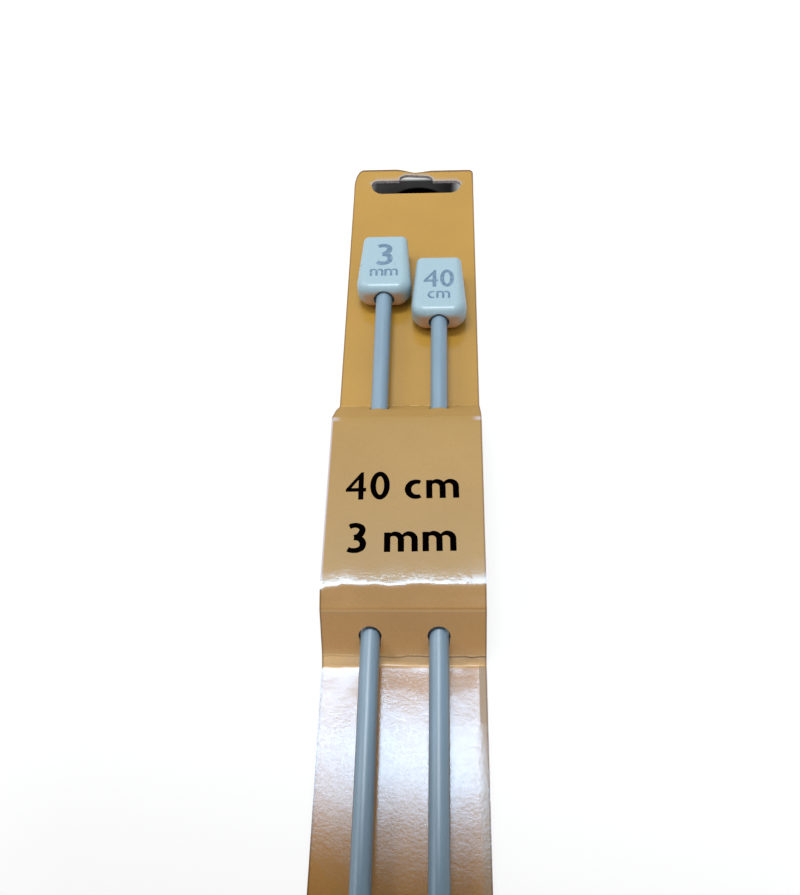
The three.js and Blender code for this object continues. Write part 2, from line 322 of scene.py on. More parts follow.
def penStroke(path, widths):
    path = np.asarray(path, float)
    widths = np.interp(np.linspace(0, 1, len(path)), np.linspace(0, 1, len(widths)), widths)
    heading = np.gradient(path, axis=0)
    heading /= np.linalg.norm(heading, axis=1)[:, None]
    aside = np.column_stack([-heading[:, 1], heading[:, 0]]) * widths[:, None] / 2
    return [np.vstack([path + aside, (path - aside)[::-1]])]


def curveThrough(points, steps=7):  # a smooth path through a few points
    points = [np.array(p, float) for p in points]
    points = [2 * points[0] - points[1], *points, 2 * points[-1] - points[-2]]
    path = []
    for before, here, after, last in zip(points, points[1:], points[2:], points[3:]):
        for t in np.arange(steps) / steps:
            bend = 2 * here + (after - before) * t + (2 * before - 5 * here + 4 * after - last) * t**2
            path.append((bend + (3 * here - before - 3 * after + last) * t**3) / 2)
    return path + [points[-2]]


def stem(x, top, width):
    return [np.array([(x, 0), (x + width, 0), (x + width, top), (x, top)])]


def figureFour(stroke):
    outer = [(0.559, 1), (0.474, 1), (0, 0.385), (0, 0.291), (0.394, 0.291), (0.394, 0)]
    outer += [(0.559, 0), (0.559, 0.291), (0.638, 0.291), (0.638, 0.425), (0.559, 0.425)]
    return [[np.array(outer), np.array([(0.394, 0.72), (0.394, 0.425), (0.175, 0.425)])]]


def figureNought(stroke):
    outer = arc(0.307, 0.5, 0.307, 0.513, 0, 360, 48)[:-1]
    inner = arc(0.307, 0.5, 0.307 - 0.95 * stroke, 0.513 - 0.92 * stroke, 0, 360, 48)[:-1]
    return [[outer, inner]]


def figureThree(stroke):
    upper = [(0.045, 0.885), (0.145, 0.928), (0.265, 0.932), (0.392, 0.873), (0.441, 0.768), (0.392, 0.632)]
    upper += [(0.300, 0.545), (0.190, 0.512)]
    lower = [(0.190, 0.512), (0.330, 0.487), (0.432, 0.402), (0.465, 0.275), (0.420, 0.150), (0.306, 0.082)]
    lower += [(0.180, 0.068), (0.080, 0.084), (0.005, 0.118)]
    widths = np.array([0.85, 0.9, 1.05, 0.95]) * stroke
    return [penStroke(curveThrough(upper), widths), penStroke(curveThrough(lower), widths[::-1])]


def letterC(stroke):
    high = figureStyle["lower"] / 2
    middle = arc(0.36, high, 0.36 - stroke / 2, high + 0.012 - 0.4 * stroke, 62, 298, 40)
    return [penStroke(middle, np.array([0.72, 0.95, 1.08, 0.95, 0.72]) * stroke)]


def letterM(stroke):
    top = figureStyle["lower"]
    step = 0.414
    parts = [stem(0, top - 0.012, stroke)]
    for k in (0, 1):
        left, right = k * step + 0.62 * stroke, (k + 1) * step + stroke / 2
        reach = (right - left) / 2
        crown = top + 0.012 - 0.4 * stroke
        bow = arc(left + reach, crown - 0.2, reach, 0.2, 180, 0, 26)
        path = np.vstack([[(left, crown - 0.3)], bow, [(right, crown - 0.3)]])
        parts.append(penStroke(path, [0.35 * stroke, 0.5 * stroke, 0.85 * stroke, stroke, stroke]))
        parts.append(stem((k + 1) * step, crown - 0.19, stroke))
    return parts


glyphs = {"4": figureFour, "0": figureNought, "3": figureThree, "c": letterC, "m": letterM}


def writeLine(text, starts, height, weight, lean=0.0):  # starts are shares of a figure's height
    turned = np.array([[math.cos(lean), math.sin(lean)], [-math.sin(lean), math.cos(lean)]])
    parts = [(start, part) for letter, start in zip(text, starts) for part in glyphs[letter](weight)]
    return [[(loop + (start, 0)) * height @ turned for loop in part] for start, part in parts]


# fills an outline round its holes, and tells which triangles lie under print
def triangulate(outline, holes, prints, extra, keepOff):
    points, loops = [], []

    def addLoop(loop):
        loops.append(list(range(len(points), len(points) + len(loop))))
        leftward = loop if turnOf(loop) > 0 else loop[::-1]  # the cutter wants every loop to turn left
        points.extend(Vector((float(x), float(y))) for x, y in leftward)
        return len(loops) - 1

    addLoop(outline)
    holeIds = {addLoop(hole) for hole in holes}
    printIds = [[addLoop(loop) for loop in part] for part in prints]
    toRim = distanceTo(points)
    points += [Vector((float(x), float(y))) for x, y in extra if toRim(x, y) > keepOff]
    verts, _, faces, _, _, owners = delaunay_2d_cdt(points, [], loops, 1, 1e-6, True)
    kept, inked = [], []
    for face, owner in zip(faces, owners):
        owner = set(owner)
        if 0 in owner and not owner & holeIds:
            kept.append(tuple(face))
            inked.append(any(outer in owner and not owner & set(inner) for outer, *inner in printIds))
    return verts, kept, inked


def turnOf(loop):  # 1 where a loop turns left, -1 where it turns right
    return math.copysign(1, sum(a[0] * b[1] - b[0] * a[1] for a, b in zip(loop, np.roll(loop, -1, axis=0))))


def distanceTo(points):  # gives the distance from any spot to the nearest of these
    tree = kdtree.KDTree(len(points))
    for i, (x, y) in enumerate(points):
        tree.insert((x, y, 0), i)
    tree.balance()
    return lambda x, y: tree.find((x, y, 0))[2]


def dropUnused(points, faces):
    used = sorted({i for face in faces for i in face})
    order = {old: new for new, old in enumerate(used)}
    return [points[i] for i in used], [tuple(order[i] for i in face) for face in faces]


def closeSheet(faces, count):  # the back of a sheet, whose points follow the front's, and the walls between
    edges = dict.fromkeys(edge for a, b, c in faces for edge in ((a, b), (b, c), (c, a)))
    walls = [(b, a, a + count, b + count) for a, b in edges if (b, a) not in edges]
    return [tuple(i + count for i in reversed(face)) for face in faces], walls


# the folded card

board = {
    "thickness": 0.5,
    "header": 62,
    "tail": 22,
    "topCorner": (0.9, 1.2),  # right hand corner: across, along
    "wornCorner": (1.9, 5.2),  # left hand corner, softened by handling
    "curl": 0.48,  # the header's top edge lifts at the left
    "bottomCorner": (1.5, 1.5),
    "foldRadius": 0.55,  # of the board's middle layer
    "foldSteps": 8,
    "rowStep": 1.5,
    "columnStep": 0.8,
    "keepOff": 0.2,  # no loose grid point nearer to a cut line than this
    "edgeRoughness": 0.035,
    "edgeReach": 0.8,  # how far in from the outline the board counts as near its edge
    "bentStrip": (11.3, 0.106),  # beyond this x the long panel's right edge is bent down, by this slope
}
bridge = {
    "top": 9.3,
    "riserAngle": 45.5,
    "front": 30.4,
    "pocket": 24,
    "shoulder": 3.9,
    "shoulderAngle": 19.5,
    "shoulderRadius": 4,
    "wallAngle": 54.5,
    "foot": 1.85,
    "footAngle": 40.5,
    "riserBow": 0.2,  # outwards, in the middle of the panel
}
slotCut = {
    "width": 18.7,
    "height": 3.7,
    "endLowerRadius": 2.4,
    "notchWidth": 7.1,
    "notchHeight": 1.7,
    "notchRounding": 2.4,
    "below": 6.9,
    "sideShift": 0.5,
    "rubbed": 0.4,  # width of the pale rim at its upper edge
    "rimOffset": 0.25,  # of the points that carry it, and how far the grid stays off the edge
    "clear": 0.45,
    "slant": 0.2,  # of the cut there, over the thickness of the board
}
shaftHole = {
    "side": 0.25,
    "snug": 0.09,  # the same below a wall hole's middle
    "wallTop": 0.4,
    "riserSide": 0.14,
    "riserTop": -0.35,  # the riser's holes are tight, and the needles push their upper rims outwards
    "bottom": 0.25,
    "ragged": 0.05,
    "pushes": (0.3, 0.375),  # how far the needles push the riser's upper hole rims out, left and right
    "pushReach": (1.3, 2.4),  # and how far that spreads, across and along
    "around": (5.2, 2.2, 4),  # a cut is a needle's hole there: middle and half size across, half size along
    "crown": 0.9,  # of the upper end of a riser's hole
    "taper": 0.75,  # length over which a wall's hole narrows
    "tear": 0.35,
    "slants": (0.25, -0.3),  # of the riser's upper hole rims, left and right
}
# the upper bridge's rounded fold, from the left edge to the right: where its roll starts to shine, past
# the fold's middle, and over what width
foldRoll = {
    "x": (-12.5, -11.3, -10.2, -8.75, -7.7, -6.45, -4.2, -1.95, -0.15)
    + (1.2, 3, 4.8, 6.75, 8.1, 9.3, 10.8, 12.5),
    "start": (0.14, -0.19, -0.27, -0.77, -0.6, -0.19, -0.27, 0.1, -0.1)
    + (-0.43, -0.51, -0.26, -0.26, -0.42, -0.75, -0.91, -1),
    "width": (0.85, 0.75, 0.65, 0.8, 0.7, 0.42, 0.4, 0.28, 0.36, 0.42, 0.42, 0.34, 0.34, 0.52, 0.9, 1, 1),
    "reach": 4.5,  # the roll is worked out this far to both sides of the fold's middle
    "step": 0.02,
}
rollTilt = {  # the board's tilt through that roll, in degrees
    "ahead": (3.2, 1.7, 0.6),  # places before the shine starts, and the tilt at each
    "tilt": (0, 1.7, 2.7),
    "shine": (3.5, 7.1),  # where it starts and ends
    "after": 0.6,  # from there to the full shoulder angle
    "ripple": 0.1,
    "cloud": 0.5,
}
footRoll = {  # the same for the fold at the bridge's foot: how far its roll reaches on to the long panel
    "x": (-12.5, -6, -3.4, 0, 3.7, 6.5, 8.5, 10.8, 11.6, 12.5),
    "reach": (0.7, 0.6, 0.7, 0.85, 1.1, 0.45, 0.8, 0.5, 0.2, 0.1),
    "shift": (0.15, 0.1, -0.58, -0.5, -0.3, -0.3, -0.42, -0.5, -0.55, -0.55),
    "ripple": 0.16,
    "softness": 0.1,
    "height": 0.085,  # of the roll, per unit of its reach
    "hollow": (0.072, 5),  # depth of the long panel's start below its level, and how far that goes
    "leaning": (0.0095, 8),  # slope of its left part there, and how far that goes
    "waves": ((0.036, 9, 3.3), (0.007, 2.6, 8.1)),  # height, length and seed
    "strip": 22,  # distance over which the bent strip flattens out
    "raised": 0.16,  # of that level above the table
}
dent = {"x": 0.1, "halfWidth": 3.7, "depth": 0.8}  # in the top edge, over the hang slot's notch

low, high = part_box("card")
cardHalfWidth = (high.x - low.x) / 2 / mm
cardTopEdge = high.y / mm
rodLow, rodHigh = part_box("left_shaft")
axisHeight = (rodLow.z + rodHigh.z) / 2 / mm
rodRadius = (rodHigh.z - rodLow.z) / 2 / mm
rodPlaces = [(box[0].x + box[1].x) / 2 / mm for box in (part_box("left_shaft"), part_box("right_shaft"))]


def bridgePanels(level, punched):
    rise = bridge["top"] - board["thickness"]
    sine = lambda key: math.sin(math.radians(bridge[key]))
    above, below = bridge["shoulder"] * sine("shoulderAngle"), bridge["foot"] * sine("footAngle")
    wall = (rise - above - below) / sine("wallAngle")
    fold = board["foldRadius"]
    return [  # length, slope, radius of the fold before it, punched for the needles
        (rise / sine("riserAngle"), bridge["riserAngle"], fold, True),
        (level, 0, fold, False),
        (bridge["shoulder"], -bridge["shoulderAngle"], bridge["shoulderRadius"], False),
        (wall, -bridge["wallAngle"], fold, punched),
        (bridge["foot"], -bridge["footAngle"], fold, False),
    ]


def boardPanels():
    upper, lower = bridgePanels(bridge["front"], True), bridgePanels(bridge["pocket"], False)
    run = sum(length * math.cos(math.radians(slope)) for length, slope, _, _ in upper + lower)
    middle = 2 * cardTopEdge - run - board["header"] - board["tail"]
    fold = board["foldRadius"]
    header, tail = (board["header"], 0, 0, False), (board["tail"], 0, fold, False)
    return [header, *upper, (middle, 0, fold, False), *lower, tail]


def layOutFolds():  # the board's middle layer from the top edge on: distance along the board, y, z, slope
    panels = boardPanels()
    corners = [Vector((cardTopEdge, board["thickness"] / 2))]
    for length, slope, _, _ in panels:
        angle = math.radians(slope)
        corners.append(corners[-1] + Vector((-math.cos(angle), math.sin(angle))) * length)
    rows = [(0, corners[0].x, corners[0].y, 0)]
    places = [0]
    for i in range(1, len(panels)):
        _, slope, radius, _ = panels[i]
        before, after = math.radians(panels[i - 1][1]), math.radians(slope)
        turn = after - before
        side = math.copysign(1, turn)
        reach = radius * math.tan(abs(turn) / 2)
        start = corners[i] + Vector((math.cos(before), -math.sin(before))) * reach
        centre = start + Vector((math.sin(before), math.cos(before))) * side * radius
        last = rows[-1]
        run = start - Vector(last[1:3])
        for t in np.linspace(0, 1, 14)[1:-1] if before > 0 else ():  # the risers are not quite flat
            lift = bridge["riserBow"] * math.sin(math.pi * t) ** 2
            lean = bridge["riserBow"] * math.pi * math.sin(2 * math.pi * t) / run.length
            spot = Vector(last[1:3]) + run * t + Vector((math.sin(before), math.cos(before))) * lift
            rows.append((last[0] + run.length * t, spot.x, spot.y, before + lean))
        along = last[0] + run.length
        steps = board["foldSteps"] * (3 if radius > 1 else 1)
        places.append(along + radius * abs(turn) / 2)
        for k in range(steps + 1):
            here = before + turn * k / steps
            point = centre - Vector((math.sin(here), math.cos(here))) * side * radius
            rows.append((along + radius * abs(turn) * k / steps, point.x, point.y, here))
    end = corners[-1]
    rows.append((rows[-1][0] + (end - Vector(rows[-1][1:3])).length, end.x, end.y, 0))
    return panels, np.array(rows), places


panels, foldRows, foldPlaces = layOutFolds()
boardLength = foldRows[-1, 0]
shoulderPlace, _, footPlace, basePlace = foldPlaces[3:7]
baseLine = float(np.interp(basePlace, foldRows[:, 0], foldRows[:, 1]))


def rowAt(along, column):
    return float(np.interp(along, foldRows[:, 0], foldRows[:, column]))


def placeOfHeight(panelIndex, z):  # the distance along the board at which a sloping panel reaches a height
    inside = (foldRows[:, 0] > foldPlaces[panelIndex]) & (foldRows[:, 0] < foldPlaces[panelIndex + 1])
    rows = foldRows[inside]
    rows = rows[np.argsort(rows[:, 2])]
    return float(np.interp(z, rows[:, 2], rows[:, 0]))


def placeOfY(y):
    return float(np.interp(-y, -foldRows[:, 1], foldRows[:, 0]))


holePlaces = {i: placeOfHeight(i, axisHeight) for i, panel in enumerate(panels) if panel[3]}
riserRim = holePlaces[1] + rodRadius / math.sin(math.radians(bridge["riserAngle"])) + shaftHole["riserTop"]


def rough(x, y, size, seed):
    return noise.noise(Vector((x / size, y / size, seed)))


def rollDrop():  # how much lower the rounded fold lies than a plain arc: a table of places across and along
    steps = np.arange(-foldRoll["reach"], foldRoll["reach"], foldRoll["step"])
    half = bridge["shoulderRadius"] * math.radians(bridge["shoulderAngle"]) / 2
    plain = np.clip((steps + half) / (2 * half), 0, 1) * bridge["shoulderAngle"]
    table = []
    for start, width in zip(foldRoll["start"], foldRoll["width"]):
        spread = 1 + rollTilt["cloud"] * rough(start * 7, width * 9, 1, 6.6)
        shine = start + width
        at = [*(start - back * spread for back in rollTilt["ahead"]), start, shine, shine + rollTilt["after"]]
        tilt = np.interp(steps, at, [*rollTilt["tilt"], *rollTilt["shine"], bridge["shoulderAngle"]])
        table.append(np.cumsum(np.radians(tilt - plain)) * foldRoll["step"])
    return steps, np.array(table)


dropAt, dropTable = rollDrop()


def dropOf(x, ahead):
    ahead += rollTilt["ripple"] * rough(x, 0.3 * ahead, 1.6, 2.2)
    i = min(max(int(np.searchsorted(foldRoll["x"], x)), 1), len(foldRoll["x"]) - 1)
    share = smooth(foldRoll["x"][i - 1], foldRoll["x"][i], x)
    before, after = (float(np.interp(ahead, dropAt, dropTable[k])) for k in (i - 1, i))
    return before + (after - before) * share


def footShift(x):  # how far the fold at the bridge's foot lies beyond its straight line
    return float(np.interp(x, footRoll["x"], footRoll["shift"])) + footRoll["ripple"] * rough(x, 0, 1.8, 4.4)


def footLift(y, along, shift):  # what that does to the height of the board
    steep = math.tan(math.radians(bridge["footAngle"]))
    soft = footRoll["softness"]
    rise = lambda s: soft * math.log1p(math.exp(min(steep * s / soft, 50)))
    ahead = y - baseLine
    share = min(max((along - footPlace) / (basePlace - footPlace), 0), 1)
    run = (basePlace - footPlace) * math.cos(math.radians(bridge["footAngle"]))
    return rise(ahead + shift / (1 + shift / run) * share) - rise(ahead)


def warp(x, along):  # the small unevenness that the gloss shows: up from the flat board
    ahead = along - shoulderPlace
    lift = -dropOf(x, ahead) * smooth(4, 1.6, ahead) if abs(ahead) < foldRoll["reach"] else 0
    beyond = along - basePlace - footShift(x)
    if beyond > -4:  # the long panel: a soft roll out of its fold, and a slight wave
        fade = smooth(-4, 0, beyond) * smooth(70, 40, beyond)
        reach = float(np.interp(x, footRoll["x"], footRoll["reach"]))
        roll = footRoll["height"] * reach * math.exp(-max(beyond, 0) / reach)
        leaning = smooth(-3.5, -9, x + 0.6 * beyond)
        depth, length = footRoll["hollow"]
        fall, goes = footRoll["leaning"]
        sag = fall * leaning * max(0, goes - max(beyond, 0))
        sag -= depth * (1 - leaning) * smooth(length, 0, beyond) * smooth(11.6, 10.4, x)
        wave = sum(high * rough(x, along, size, seed) for high, size, seed in footRoll["waves"])
        edge, slope = board["bentStrip"]
        fading = math.exp(-max(beyond, 0) / footRoll["strip"])
        bent = slope * fading * max(0, x - edge) * smooth(-0.4, 0.4, beyond)
        lift += fade * (footRoll["raised"] + roll + sag + wave) - bent
    return lift


def onBoard(x, along, above):  # above: 1 for the printed face, -1 for the back
    y, z, slope = (rowAt(along, column) for column in (1, 2, 3))
    out = above * board["thickness"] / 2
    wide, long = shaftHole["pushReach"]
    for middle, push in zip(rodPlaces, shaftHole["pushes"]):
        aside, beyond = (x - middle) / wide, max(along - riserRim, 0) / long
        out += push * math.exp(-(aside**2) - beyond**2) * smooth(riserRim - 1, riserRim - 0.3, along)
    spot = Vector((x, y + out * math.sin(slope), z + out * math.cos(slope)))
    spot.z += warp(x, along) + board["curl"] * smooth(2.5, -4, x) * smooth(8, 0, along)
    if abs(along - basePlace) < 4:
        spot.z += footLift(y, along, footShift(x))
    return spot


def slotLoop():
    half = slotCut["width"] / 2
    under = slotCut["below"]
    over = under - slotCut["height"]
    lower, upper = slotCut["endLowerRadius"], slotCut["height"] - slotCut["endLowerRadius"]
    notch, soft, rise = slotCut["notchWidth"] / 2, slotCut["notchRounding"], slotCut["notchHeight"]
    right = [*arc(half - lower, under - lower, lower, lower, 90, 0, 12)]  # from the lower edge round the end
    right += [*arc(half - upper, over + upper, upper, upper, 0, -90, 8)][1:]
    right += [(x, over) for x in np.linspace(half - upper, notch, 8)[1:]]
    right += [(notch - soft * t * t, over - rise * (2 * t - t * t)) for t in np.linspace(0, 1, 10)[1:]]
    left = [(-x, s) for x, s in reversed(right)]
    bottom = [(x, under) for x in np.linspace(lower - half, half - lower, 24)[1:-1]]
    loop = np.array([*right, (0, over - rise), *left, *bottom])
    return loop + (slotCut["sideShift"], 0)


def slotRim():  # points a little outside the slot's upper edge, to carry its rubbed rim
    loop = slotLoop()
    heading = np.roll(loop, -1, axis=0) - np.roll(loop, 1, axis=0)
    heading /= np.linalg.norm(heading, axis=1)[:, None]
    outside = loop - np.column_stack([-heading[:, 1], heading[:, 0]]) * slotCut["rimOffset"] * turnOf(loop)
    upper = loop[:, 1] < slotCut["below"] - slotCut["endLowerRadius"]
    return outside[upper], loop[upper]


def holeLoop(panelIndex, x):
    lean = math.radians(abs(panels[panelIndex][1]))
    onUpperRiser = panelIndex == 1
    radius = rodRadius + shaftHole["riserSide" if onUpperRiser else "side"]
    skin = board["thickness"] / 2 / math.tan(lean)
    below = rodRadius / math.sin(lean) + skin + shaftHole["bottom"]
    if onUpperRiser:  # it climbs along the board, so its hole's upper end comes last
        top = riserRim - holePlaces[1]
        slant, crown = shaftHole["slants"][0 if x < 0 else 1], shaftHole["crown"]
        upper = []
        for dx in np.linspace(radius, -radius, 15)[1:-1]:
            px, bulge = x + dx, 1 - (dx / radius) ** 2
            tear = shaftHole["tear"] * rough(px, 0, 0.8, x)
            upper.append((px, top - crown * (1 - bulge) + slant * (px - x) / radius + tear))
        sides = [(x + radius, s) for s in (0, 0.5)]
        lower = [(x + px, radius - below + s) for px, s in arc(0, 0, radius, radius, 180, 360, 22)]
        loop = [*sides, *upper, *[(2 * x - px, s) for px, s in reversed(sides)], *lower]
    else:
        top = rodRadius / math.sin(lean) + skin + shaftHole["wallTop"]
        snug, taper = rodRadius + shaftHole["snug"], shaftHole["taper"]
        sides = [(snug + (radius - snug) * (1 - t) ** 2, radius - top + taper * t) for t in (0.33, 0.66, 1)]
        loop = [(x + px, radius - top + s) for px, s in arc(0, 0, radius, radius, 180, 360, 26)]
        loop += [(x + px, s) for px, s in sides]
        loop += [(x + px, below - snug + s) for px, s in arc(0, 0, snug, snug, 0, 180, 26)]
        loop += [(x - px, s) for px, s in reversed(sides)]
    ragged = [shaftHole["ragged"] * rough(px, s, 0.5, x + panelIndex) for px, s in loop]
    return np.array([(px + grain, s + holePlaces[panelIndex]) for (px, s), grain in zip(loop, ragged)])


def topEdgeAt(x):
    return dent["depth"] * max(0, 1 - abs(x - dent["x"]) / dent["halfWidth"]) ** 1.25


def boardOutline(rows, columns):
    half = cardHalfWidth

    def nibble(spot, seed):
        return board["edgeRoughness"] * (1 + rough(spot, 0, 2, seed)) / 2

    def corner(key, side, start, end, steps, across=math.sin, down=math.cos):
        turns = np.radians(np.linspace(start, end, steps))
        reachX, reachAlong = board[key]
        return [(side * (half - reachX * (1 - across(t))), reachAlong * (1 - down(t))) for t in turns]

    wornX, wornAlong = board["wornCorner"]
    topX, topAlong = board["topCorner"]
    endX, endAlong = board["bottomCorner"]
    freeRows = lambda first: [s for s in rows if first + 0.2 < s < boardLength - endAlong - 0.2]
    loop = corner("wornCorner", -1, 90, 0, 9)
    loop += [(x, topEdgeAt(x)) for x in columns if -half + wornX < x < half - topX]
    loop += corner("topCorner", 1, 0, 90, 6)
    loop += [(half - nibble(s, 1.7), s) for s in freeRows(topAlong)]
    loop += [(x, boardLength - s) for x, s in corner("bottomCorner", 1, 0, 90, 6, math.cos, math.sin)]
    loop += [(x, boardLength) for x in columns[::-1] if -half + endX < x < half - endX]
    loop += [(x, boardLength - s) for x, s in corner("bottomCorner", -1, 90, 0, 6, math.cos, math.sin)]
    loop += [(-half + nibble(s, 5.1), s) for s in reversed(freeRows(wornAlong))]
    return np.array(loop)


def boardRows():  # places along the board for its grid, finer round the rounded fold and the bridge's foot
    rows = set(np.round(foldRows[:, 0], 4))
    knots = sorted(rows)
    for start, end in zip(knots, knots[1:]):
        count = int((end - start) / board["rowStep"])
        rows.update(np.round(np.linspace(start, end, count + 2), 4) if count else ())
    ridge, foot = shoulderPlace, basePlace
    rows = [s for s in rows if not ridge - 5.5 < s < ridge + 3 and not -1.7 < s - foot < 9]
    rows += [*np.arange(ridge - 5.4, ridge - 2.2, 0.4), *np.arange(ridge - 2.1, ridge + 3, 0.15)]
    rows += [*np.arange(foot - 1.6, foot + 2.5, 0.15), *np.arange(foot + 2.8, foot + 9, 0.4)]
    return np.array(sorted(rows))


sizeLines = {
    "upper": {"text": "40cm", "starts": (0, 0.764, 1.850, 2.512), "baseline": 142.02},
    "lower": {"text": "3mm", "starts": (0.150, 1.252, 2.413), "baseline": 132.62},
    "left": -9.4,
    "height": 5.1,
    "tilt": 1.0,
}


def sizePrint():
    parts = []
    for line in (sizeLines["upper"], sizeLines["lower"]):
        lean = math.radians(sizeLines["tilt"])
        drawn = writeLine(line["text"], line["starts"], sizeLines["height"], figureStyle["stem"], lean)
        place = placeOfY(line["baseline"])
        parts += [[loop * (1, -1) + (sizeLines["left"], place) for loop in part] for part in drawn]
    return parts


# the print's colour on each panel, with painted light and shade in it: each panel's tone is set for how it is
# lit, the walls painted lighter, the feet paler and bluer and the long panel's bent right edge bluer, as a
# painted reflection
panelColoursAndLight = {
    "header": (188, 144, 58),
    "riser": (182, 142, 71),
    "front": (183, 143, 70),
    "shoulder": (190, 150, 101),
    "wall": (215, 160, 88),
    "foot": (233, 192, 136),
    "long": (191, 138, 70),
    "strip": (176, 144, 105),  # the long panel's bent right edge, with a painted reflection
}
panelOrder = ["header", *["riser", "front", "shoulder", "wall", "foot", "long"] * 2]
panelShades = [panelColoursAndLight[name] for name in panelOrder for _ in (0, 1)][1:-1]  # before and after each fold


# the print's colour at a point, with each panel's painted light and shade
def printAndPaintedLight(x, along):
    moved = [p + (footShift(x) + 0.7 if p == basePlace else 0) for p in foldPlaces[1:]]
    places = [p + step for p in moved for step in (-0.25, 0.25)]
    beyond, edge = along - basePlace, board["bentStrip"][0]
    strip = smooth(edge, edge + 0.03, x) * smooth(-0.4, 0.4, beyond) * smooth(60, 25, beyond)
    mixed = [float(np.interp(along, places, shades)) for shades in zip(*panelShades)]
    return paint(*(m + (s - m) * strip for m, s in zip(mixed, panelColoursAndLight["strip"])))


def addBoard(materials):
    rows, half = boardRows(), cardHalfWidth
    columns = np.linspace(-half, half, int(2 * half / board["columnStep"]) + 1)
    holes = [slotLoop()] + [holeLoop(i, x) for i in holePlaces for x in rodPlaces]
    outside, rim = slotRim()
    toRim = distanceTo(rim)
    bend, clear = board["bentStrip"][0], slotCut["clear"]
    grid = [(x, s) for x, s in outside if s > topEdgeAt(x) + 0.2]
    fine = sorted([*np.linspace(-half, half, 65)[1:-1], bend - 0.02, bend + 0.02])
    for s in rows[1:-1]:
        close = abs(s - shoulderPlace) < 3.2 or -1.7 < s - basePlace < 9
        grid += [(x, s) for x in (fine if close else columns[1:-1]) if toRim(x, s) > clear]
    outline = boardOutline(rows, columns)
    flat, faces, inked = triangulate(outline, holes, sizePrint(), grid, board["keepOff"])
    flat, faces = dropUnused(flat, faces)
    rubbed = [max(0, 1 - toRim(p.x, p.y) / slotCut["rubbed"]) for p in flat]
    slants = [slotCut["slant"] * smooth(0.8, 1, rub) for rub in rubbed]
    points = [onBoard(p.x, p.y, 1) for p in flat]
    points += [onBoard(p.x, p.y + slant, -1) for p, slant in zip(flat, slants)]
    area = sum((flat[b] - flat[a]).cross(flat[c] - flat[a]) for a, b, c in faces)
    if area > 0:  # the board runs down the page, so loops that turn left on it face down
        faces = [face[::-1] for face in faces]
    lower, walls = closeSheet(faces, len(flat))
    middle, wide, long = shaftHole["around"]
    near = lambda p: any(abs(p.y - s) < long for s in holePlaces.values())
    punched = [abs(abs(p.x) - middle) < wide and near(p) for p in flat]
    slots = [3 if ink else 0 for ink in inked] + [1] * len(lower)
    slots += [4 if punched[wall[1]] else 2 for wall in walls]
    faces += lower + walls
    piece = addPiece("folded_board", points, faces, materials, "card", ["card"], slots, 50)
    toEdge = distanceTo(outline)
    marks = {"across": [p.x for p in flat], "along": [p.y for p in flat], "rubbed": rubbed}
    marks["nearEdge"] = [max(0, 1 - toEdge(p.x, p.y) / board["edgeReach"]) for p in flat]
    for name, values in marks.items():
        piece.data.attributes.new(name, "FLOAT", "POINT").data.foreach_set("value", values * 2)
    printed = [share for p in flat for share in printAndPaintedLight(p.x, p.y)]
    piece.data.attributes.new("printed", "FLOAT_COLOR", "POINT").data.foreach_set("color", printed * 2)
    print("board:", len(piece.data.polygons), "faces")
    return piece


# the board's finishes

boardFinish = {
    "fade": (0.95, 1.02),  # of the print, in soft clouds
    # pale, for worn paper and for the painted glints at the upper ridges' ends
    "paleWearAndGlint": (214, 205, 216),
    # pale gold, for the split coating in the creases and for a painted highlight past each wall's top fold
    "goldenCrackAndHighlight": (240, 212, 150),
    # dark brown, for dirt and for painted shade in folds, along the cut edges and in the needle holes
    "dirtAndShade": (112, 76, 34),
    "core": (176, 168, 172),
    "coreDark": (120, 110, 108),
    "rubbed": (178, 168, 160),
    # painted shade for the needle holes' cut edges
    "holeEdgeShade": (70, 54, 42),
    "back": (206, 199, 187),
    "backDark": (188, 180, 168),
    "ink": (3, 1, 1),
    "gloss": 0.6,
    "glossTint": (0.52, 0.76, 1, 1),
    "ridgeRoughness": (0.13, 0.17),  # clear patches of the coat and fibrous ones, on the bridges' ridges
    "roughness": (0.15, 0.185),
    "riserRoughness": 0.7,
    "chip": (250, 230, 200),
    "inkPaintedSheen": (16, 12, 10),
    "cloud": (55, 4),  # scale and detail of the noise, here and in the next two
    "peel": (420, 3),
    "grain": (2400, 3),
    "creases": {1: 0.8, 5: 0.6, 7: 0.8, 11: 0.6},  # valley folds where the coating has split, and how much
    "ridges": (2, 8),  # folds at which a level panel, a wall and a foot begin
    "walls": (4, 10),
    "feet": (5, 11),
}


def broken(tree, across, place, density, length):  # a share that comes and goes along a fold
    spread = compute(tree, "ADD", compute(tree, "DIVIDE", across, length), 7.3 * place)
    return ramp(tree, streak(tree, spread, 2), 1 - density, 1.12 - density)


def lineAt(tree, along, place, halfWidth):
    offset = compute(tree, "ABSOLUTE", compute(tree, "SUBTRACT", along, place))
    return ramp(tree, offset, halfWidth, 0.25 * halfWidth)


